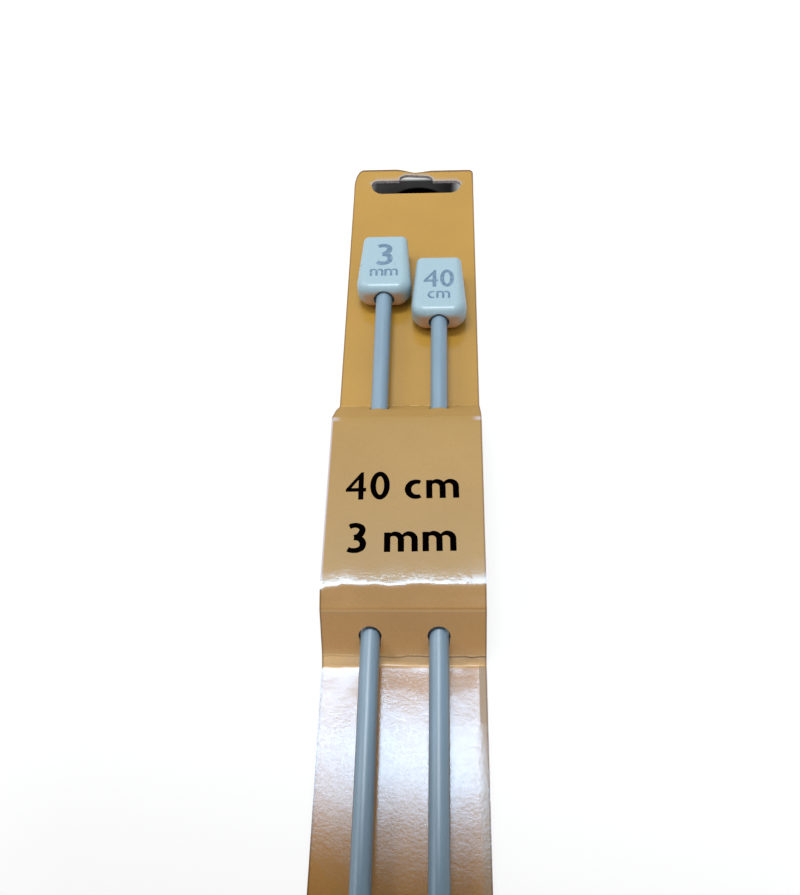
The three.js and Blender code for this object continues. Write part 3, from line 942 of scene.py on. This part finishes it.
def printedBoard():
    material, tree, shader = newMaterial("glossyOchreBoard")
    along, across, rubbed, nearEdge = (
        addNode(tree, "Attribute", attribute_name=name).outputs["Fac"]
        for name in ("along", "across", "rubbed", "nearEdge")
    )
    place = objectPlace(tree)
    cloud, peel, grain = (speckle(tree, place, *boardFinish[key]) for key in ("cloud", "peel", "grain"))
    worn, dirtAndShade, golden, chip, pale = (
        paint(*boardFinish[key]) for key in ("paleWearAndGlint", "dirtAndShade", "goldenCrackAndHighlight", "chip", "rubbed")
    )
    printed = addNode(tree, "Attribute", attribute_name="printed").outputs["Color"]
    fade = ramp(tree, cloud, 0.35, 0.65, *boardFinish["fade"])
    clouded = addNode(tree, "VectorMath", {"Vector": printed, "Scale": fade}, operation="SCALE")
    colour = clouded.outputs["Vector"]

    def lay(tone, *shares):  # another tone on top, where all of the shares say so
        nonlocal colour
        colour = blendColour(tree, every(tree, *shares), colour, tone)

    lay(dirtAndShade, ramp(tree, grain, 0.3, 0.7, 0.0, 0.07))
    drift = streak(tree, compute(tree, "DIVIDE", across, 3), 1)
    wavy = compute(tree, "ADD", along, ramp(tree, drift, 0.25, 0.75, -0.1, 0.1))
    for i, strength in boardFinish["creases"].items():
        lay(golden, lineAt(tree, wavy, foldPlaces[i], 0.13), broken(tree, across, i, 0.62, 2.2), strength)
        lay(chip, lineAt(tree, wavy, foldPlaces[i], 0.18), broken(tree, across, i + 23, 0.3, 0.7), strength)
    for i in boardFinish["feet"]:  # a painted shadow: a dark line beside the score at each bridge's foot, deepest at the right
        lay(dirtAndShade, lineAt(tree, wavy, foldPlaces[i] + 0.3, 0.15), ramp(tree, across, -8, 6, 0.3, 0.8))
    # painted shade just before each wall's top fold, and a painted highlight just after it
    for i in boardFinish["walls"]:
        lay(dirtAndShade, lineAt(tree, along, foldPlaces[i] - 0.16, 0.17), ramp(tree, across, -12, 10, 0.12, 0.3))
        lay(golden, lineAt(tree, along, foldPlaces[i] + 0.16, 0.17), 0.2)
    aside = compute(tree, "ABSOLUTE", across)
    for i in boardFinish["ridges"]:  # both bridges' upper ridges are rubbed pale at their ends, and a painted glint lies there too
        lay(worn, ramp(tree, aside, 10.6, 12.4, 0, 0.72), lineAt(tree, along, foldPlaces[i] + 0.3, 0.55))
    riserStart, ridge, shoulder, _, foot = foldPlaces[1:6]
    onFront = stretch(tree, along, ridge - 0.5, ridge + 1, shoulder, shoulder + 1)
    onRiser = stretch(tree, along, riserStart, riserStart + 0.4, ridge - 0.3, ridge + 0.2)
    onRidge = stretch(tree, along, shoulder - 4, shoulder - 2, foot, foot + 2)
    lay(worn, ramp(tree, across, -12.15, -12.35), onFront, 0.75)
    chipped = stretch(tree, across, 2.2, 3, 8.5, 10)
    lay(dirtAndShade, broken(tree, across, 3, 0.5, 0.6), chipped, lineAt(tree, along, 0.1, 0.75), 0.85)
    # painted shade: a dark line along the board's cut edges, darker towards the top edge, left out on the
    # left half of the upper front
    edgeShadeDepth = between(tree, ramp(tree, along, 6, 1.2), 0.6, 1)
    unshadedEdge = every(tree, onFront, ramp(tree, across, 0, -1))
    lay(dirtAndShade, edgeShadeDepth, ramp(tree, nearEdge, 0.55, 0.85), compute(tree, "SUBTRACT", 1, unshadedEdge))
    lay(pale, ramp(tree, rubbed, 0.05, 0.8))
    patches = [ramp(tree, grain, 0.42, 0.6, *boardFinish[key]) for key in ("roughness", "ridgeRoughness")]
    roughness = between(tree, onRiser, between(tree, onRidge, *patches), boardFinish["riserRoughness"])
    normal = relief(tree, grain, 0.55, 20, Normal=relief(tree, peel, 0.6, 20))
    plug(tree, shader, {"Base Color": colour, "Roughness": roughness, "Normal": normal})
    gloss, tint = boardFinish["gloss"], boardFinish["glossTint"]
    plug(tree, shader, {"Specular IOR Level": gloss, "Specular Tint": tint})
    return material


def plainBoard(name, light, dark, scale):  # unprinted board, for the back and the cut edges
    material, tree, shader = newMaterial(name)
    fibre = speckle(tree, objectPlace(tree), scale, 5, Roughness=0.65)
    colour = blendColour(tree, ramp(tree, fibre, 0.35, 0.7), paint(*light), paint(*dark))
    plug(tree, shader, {"Base Color": colour, "Normal": relief(tree, fibre, 0.6, 40)})
    plug(tree, shader, {"Roughness": 0.85, "Specular IOR Level": 0.25})
    return material


def blackInk():
    material, tree, shader = newMaterial("blackSizeInk")
    patch = speckle(tree, objectPlace(tree), 900)
    # painted sheen: a few paler patches stand in for shine, as the ink has no gloss of its own
    ink, shine = paint(*boardFinish["ink"]), paint(*boardFinish["inkPaintedSheen"])
    colour = blendColour(tree, ramp(tree, patch, 0.62, 0.8), ink, shine)
    roughness = ramp(tree, patch, 0.3, 0.7, 0.3, 0.4)
    plug(tree, shader, {"Base Color": colour, "Roughness": roughness, "Specular IOR Level": 0})
    return material


# the shafts: coated rod, ground to a point

rod = {
    "pointLength": 13,
    "pointBlend": 4,
    "tipDiameter": 1,
    "endChamfer": 0.4,
    "grooves": 3,
    "groovePitch": 1.8,
    "grooveWidth": 0.8,
    "grooveDepth": 0.2,
    "sides": 72,
    "coat": (123, 150, 169),
    "coatShade": (118, 144, 162),
    "speck": (168, 184, 196),
    "roughness": (0.4, 0.46),
    "gloss": {"Specular IOR Level": 0.6, "Coat Weight": 0.27, "Coat Roughness": 0.26},
}


def rodProfile(length):  # radius and place along the rod, from the tip
    tip = rod["tipDiameter"] / 2
    coneEnd = rod["pointLength"] - rod["pointBlend"] / 2
    blendStart = rod["pointLength"] - rod["pointBlend"]
    lean = math.atan((rodRadius - tip) / coneEnd)
    turns = np.linspace(-math.pi / 2 + 0.12, -lean, 12)
    profile = [(tip * math.cos(t), tip + tip * math.sin(t)) for t in turns]
    start = (tip + (rodRadius - tip) * blendStart / coneEnd, blendStart)
    profile.append(start)
    for t in np.linspace(0, 1, 9)[1:]:
        radius = start[0] * (1 - t) ** 2 + 2 * t * (1 - t) * rodRadius + t * t * rodRadius
        along = start[1] * (1 - t) ** 2 + 2 * t * (1 - t) * coneEnd + t * t * rod["pointLength"]
        profile.append((radius, along))
    lastGroove = length - rod["grooves"] * rod["groovePitch"]
    profile += [(rodRadius, y) for y in np.linspace(rod["pointLength"], lastGroove, 60)[1:-1]]
    for k in range(rod["grooves"]):
        groove = lastGroove + k * rod["groovePitch"]
        floor = rodRadius - rod["grooveDepth"]
        quarter = rod["grooveWidth"] / 4
        profile += [(rodRadius, groove), (floor, groove + quarter), (floor, groove + 3 * quarter)]
        profile.append((rodRadius, groove + 4 * quarter))
    profile += [(rodRadius, length - rod["endChamfer"]), (rodRadius - rod["endChamfer"], length)]
    return profile


def placeOf(node):  # middle across, near end, middle height and length
    low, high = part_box(node)
    return (low.x + high.x) / 2 / mm, low.y / mm, (low.z + high.z) / 2 / mm, (high.y - low.y) / mm


def addRod(side, material):
    x, start, _, length = placeOf(side + "_shaft")
    profile, sides = rodProfile(length), rod["sides"]
    points = [(x, start, axisHeight)]
    for radius, along in profile:
        for k in range(sides):
            turn = 2 * math.pi * k / sides
            points.append((x + radius * math.cos(turn), start + along, axisHeight + radius * math.sin(turn)))
    points.append((x, start + length, axisHeight))
    last = len(points) - 1
    faces = [(0, 1 + k, 1 + (k + 1) % sides) for k in range(sides)]
    for ring in range(len(profile) - 1):
        base = 1 + ring * sides
        for k in range(sides):
            after = (k + 1) % sides
            faces.append((base + k, base + sides + k, base + sides + after, base + after))
    base = last - sides
    faces += [(last, base + (k + 1) % sides, base + k) for k in range(sides)]
    return addPiece(side + "_rod", points, faces, [material], side + "_needle", [side + "_shaft"])


def greyCoating():
    material, tree, shader = newMaterial("satinGreyCoating")
    place = objectPlace(tree)
    drawn = addNode(tree, "Mapping", {"Vector": place, "Scale": (1, 0.12, 1)}).outputs["Vector"]
    lines, specks = speckle(tree, drawn, 700, 4), speckle(tree, place, 2600, 2)
    colour = blendColour(tree, ramp(tree, lines, 0.35, 0.7), paint(*rod["coat"]), paint(*rod["coatShade"]))
    colour = blendColour(tree, ramp(tree, specks, 0.66, 0.78, 0, 0.35), colour, paint(*rod["speck"]))
    roughness = ramp(tree, lines, 0.3, 0.7, *rod["roughness"])
    normal = relief(tree, specks, 0.25, 8)
    plug(tree, shader, {"Base Color": colour, "Roughness": roughness, "Normal": normal, **rod["gloss"]})
    return material


# the heads: flat moulded knobs

knob = {
    "nearWidth": 10.8,
    "farWidth": 8.5,
    "nearThickness": 5.5,
    "farThickness": 5,
    "nearCorner": 2.1,
    "farCorner": 1.2,
    "nearRounding": 1.8,
    "nearSideRounding": 3.3,
    "farRounding": 0.8,
    "mouthRadius": 1.95,
    "mouthDepth": 1.4,
    "boreRadius": 1.55,
    "wallBehind": 3.5,
    "mouthSoftening": 0.12,
    "cornerSteps": 10,
    "rimSteps": 16,
    "plastic": (160, 187, 198),
    "plasticShade": (158, 185, 196),
    "paintedBounce": (228, 166, 108),  # painted bounce light from the ochre board, on the near end that faces it
    "bounceSide": (0, -0.85, -0.53),
    "roughness": (0.27, 0.34),
    "mark": (88, 118, 142),
    "markPale": (120, 150, 172),
}


def rimInset(radius, along):  # how far a rounded rim draws the skin in, at a distance from the end
    return radius - math.sqrt(radius**2 - max(radius - along, 0) ** 2)


def knobSection(along, sideInset, faceInset, length):
    share = along / length
    mix = lambda near, far: near + (far - near) * share
    halfWidth = mix(knob["nearWidth"], knob["farWidth"]) / 2 - sideInset
    halfThickness = mix(knob["nearThickness"], knob["farThickness"]) / 2 - faceInset
    fullCorner = mix(knob["nearCorner"], knob["farCorner"])
    corner = max(fullCorner - faceInset, fullCorner / 4)
    ring = []
    for quarter, (sideX, sideZ) in enumerate(((1, 1), (-1, 1), (-1, -1), (1, -1))):
        for k in range(knob["cornerSteps"] + 1):
            turn = (quarter + k / knob["cornerSteps"]) * math.pi / 2
            x = sideX * (halfWidth - corner) + corner * math.cos(turn)
            ring.append((x, along, sideZ * (halfThickness - corner) + corner * math.sin(turn)))
    return ring


def knobRings(length):
    turns = np.radians(np.linspace(0, 90, knob["rimSteps"] + 1))
    side, face, far = knob["nearSideRounding"], knob["nearRounding"], knob["farRounding"]
    rings = []
    for y in side * (1 - np.cos(turns)):
        rings.append(knobSection(y, rimInset(side, y), rimInset(face, y), length))
    rings += [knobSection(y, 0, 0, length) for y in np.linspace(side, length - far, 7)[1:-1]]
    for t in turns[::2]:
        inset = far * (1 - math.cos(t))
        rings.append(knobSection(length - far * (1 - math.sin(t)), inset, inset, length))
    return rings


def closedRings(rings):
    count = len(rings[0])
    points = [point for ring in rings for point in ring]
    faces = [tuple(reversed(range(count)))]
    for base in range(0, len(points) - count, count):
        for k in range(count):
            after = (k + 1) % count
            faces.append((base + k, base + after, base + count + after, base + count + k))
    faces.append(tuple(range(len(points) - count, len(points))))
    return points, faces


def knobSkin(length):  # the knob with its socket bored out, in millimetres from its near end
    bottom, mouth, bore = length - knob["wallBehind"], knob["mouthRadius"], knob["boreRadius"]
    turns = np.radians(np.arange(0, 360, 6))
    circle = lambda radius, y: [(radius * math.cos(t), y, radius * math.sin(t)) for t in turns]
    steps = ((mouth, -2), (mouth, knob["mouthDepth"]), (bore, knob["mouthDepth"]), (bore, bottom))
    drill = [circle(radius, y) for radius, y in steps]
    solids = []
    for name, rings in (("knobBlank", knobRings(length)), ("socketDrill", drill)):
        points, faces = closedRings(rings)
        mesh = bpy.data.meshes.new(name)
        mesh.from_pydata(points, [], [face[::-1] for face in faces])
        solids.append(bpy.data.objects.new(name, mesh))
        bpy.context.scene.collection.objects.link(solids[-1])
    blank, cutter = solids
    cut = blank.modifiers.new("bore", "BOOLEAN")
    cut.operation, cut.solver, cut.object = "DIFFERENCE", "EXACT", cutter
    soften = blank.modifiers.new("mouthEdge", "BEVEL")
    soften.width, soften.segments = knob["mouthSoftening"], 2
    soften.limit_method, soften.angle_limit = "ANGLE", math.radians(50)
    bored = blank.evaluated_get(bpy.context.evaluated_depsgraph_get()).to_mesh()
    points = [tuple(vertex.co) for vertex in bored.vertices]
    faces = [tuple(polygon.vertices) for polygon in bored.polygons]
    for solid in solids:
        mesh = solid.data
        bpy.data.objects.remove(solid)
        bpy.data.meshes.remove(mesh)
    return points, faces


def addKnob(side, material):
    body, solid = side + "_needle", side + "_head"
    x, start, z, length = placeOf(solid)
    points, faces = knobSkin(length)
    points = [(x + px, start + py, z + pz) for px, py, pz in points]
    piece = addPiece(side + "_knob", points, faces, [material], body, [solid], None, 40)
    modifier = piece.modifiers.new("evenShading", "WEIGHTED_NORMAL")
    modifier.keep_sharp = True
    return piece


def knobPlastic():
    material, tree, shader = newMaterial("paleKnobPlastic")
    place = objectPlace(tree)
    flow, skin = speckle(tree, place, 900, 4), speckle(tree, place, 2200, 2)
    base, shade = paint(*knob["plastic"]), paint(*knob["plasticShade"])
    colour = blendColour(tree, ramp(tree, flow, 0.2, 0.8), base, shade)
    # painted bounce light: faces turned towards the board take on its warm colour
    sides = {0: addNode(tree, "NewGeometry").outputs["Normal"], 1: knob["bounceSide"]}
    facing = addNode(tree, "VectorMath", sides, operation="DOT_PRODUCT").outputs["Value"]
    colour = blendColour(tree, ramp(tree, facing, 0.4, 1, 0, 0.85), colour, paint(*knob["paintedBounce"]))
    roughness = ramp(tree, flow, 0.3, 0.7, *knob["roughness"])
    plug(tree, shader, {"Base Color": colour, "Roughness": roughness, "Normal": relief(tree, skin, 0.08, 10)})
    return material


def markInk():
    material, tree, shader = newMaterial("greyBlueMarkInk")
    patch = speckle(tree, objectPlace(tree), 1500)
    colour = blendColour(tree, ramp(tree, patch, 0.4, 0.75), paint(*knob["mark"]), paint(*knob["markPale"]))
    plug(tree, shader, {"Base Color": colour, "Roughness": 0.4})
    return material


# the marks printed on the heads: a large figure over small letters

headMarks = {
    "left": {"figure": "3", "starts": (0,), "height": 5.5, "unit": "mm", "unitStarts": (0, 1.06)},
    "right": {"figure": "40", "starts": (0, 0.72), "height": 4.3, "unit": "cm", "unitStarts": (0, 0.62)},
    "figureWeight": 0.185,
    "figureBase": 6.5,  # from the near end of the head
    "unitHeight": 2.6,
    "unitWeight": 0.17,
    "unitBase": 3.6,
    "thickness": 0.03,
    "sink": 0.02,
    "margin": 0.5,  # of the sheet that the marks are cut from
}


def markParts(side):
    mark = headMarks[side]
    figure = writeLine(mark["figure"], mark["starts"], mark["height"], headMarks["figureWeight"])
    unit = writeLine(mark["unit"], mark["unitStarts"], headMarks["unitHeight"], headMarks["unitWeight"])
    placed = []
    for parts, base in ((figure, headMarks["figureBase"]), (unit, headMarks["unitBase"])):
        spread = np.vstack([part[0] for part in parts])
        middle = (spread[:, 0].min() + spread[:, 0].max()) / 2
        placed += [[loop + (-middle, base) for loop in part] for part in parts]
    return placed


def addMark(side, material):
    x, start, z, length = placeOf(side + "_head")
    top = z + knob["nearThickness"] / 2
    fall = (knob["nearThickness"] - knob["farThickness"]) / 2 / length
    parts = markParts(side)
    spread = np.vstack([part[0] for part in parts])
    (left, bottom), (right, upper) = spread.min(0) - headMarks["margin"], spread.max(0) + headMarks["margin"]
    frameLoop = np.array([(left, bottom), (right, bottom), (right, upper), (left, upper)])
    flat, faces, inked = triangulate(frameLoop, [], parts, [], 0)
    flat, faces = dropUnused(flat, [face for face, ink in zip(faces, inked) if ink])
    a, b, c = faces[0]
    if (flat[b] - flat[a]).cross(flat[c] - flat[a]) < 0:
        faces = [face[::-1] for face in faces]
    points = []
    for lift in (headMarks["thickness"] - headMarks["sink"], -headMarks["sink"]):
        points += [(x + p.x, start + p.y, top - fall * p.y + lift) for p in flat]
    lower, walls = closeSheet(faces, len(flat))
    return addPiece(side + "_size_mark", points, faces + lower + walls, [material], side + "_needle")


addCamera()
for lampName in lamps:
    addLamp(lampName)
addWorld()
addFloor()
addLensShade()
print("camera, lamps and floor set")

cutEdge = plainBoard("boardCutEdge", boardFinish["core"], boardFinish["coreDark"], 2600)
bareBack = plainBoard("bareBoardBack", boardFinish["back"], boardFinish["backDark"], 900)
# painted shade: the needle holes' cut edges are dark brown
holeShade = plainBoard("holeEdgePaintedShade", boardFinish["holeEdgeShade"], boardFinish["dirtAndShade"], 2600)
addBoard([printedBoard(), bareBack, cutEdge, blackInk(), holeShade])

coating, plastic, ink = greyCoating(), knobPlastic(), markInk()
for side in ("left", "right"):
    addRod(side, coating)
    addKnob(side, plastic)
    addMark(side, ink)
print("needles made")

bpy.context.scene.view_settings.view_transform = "Standard"
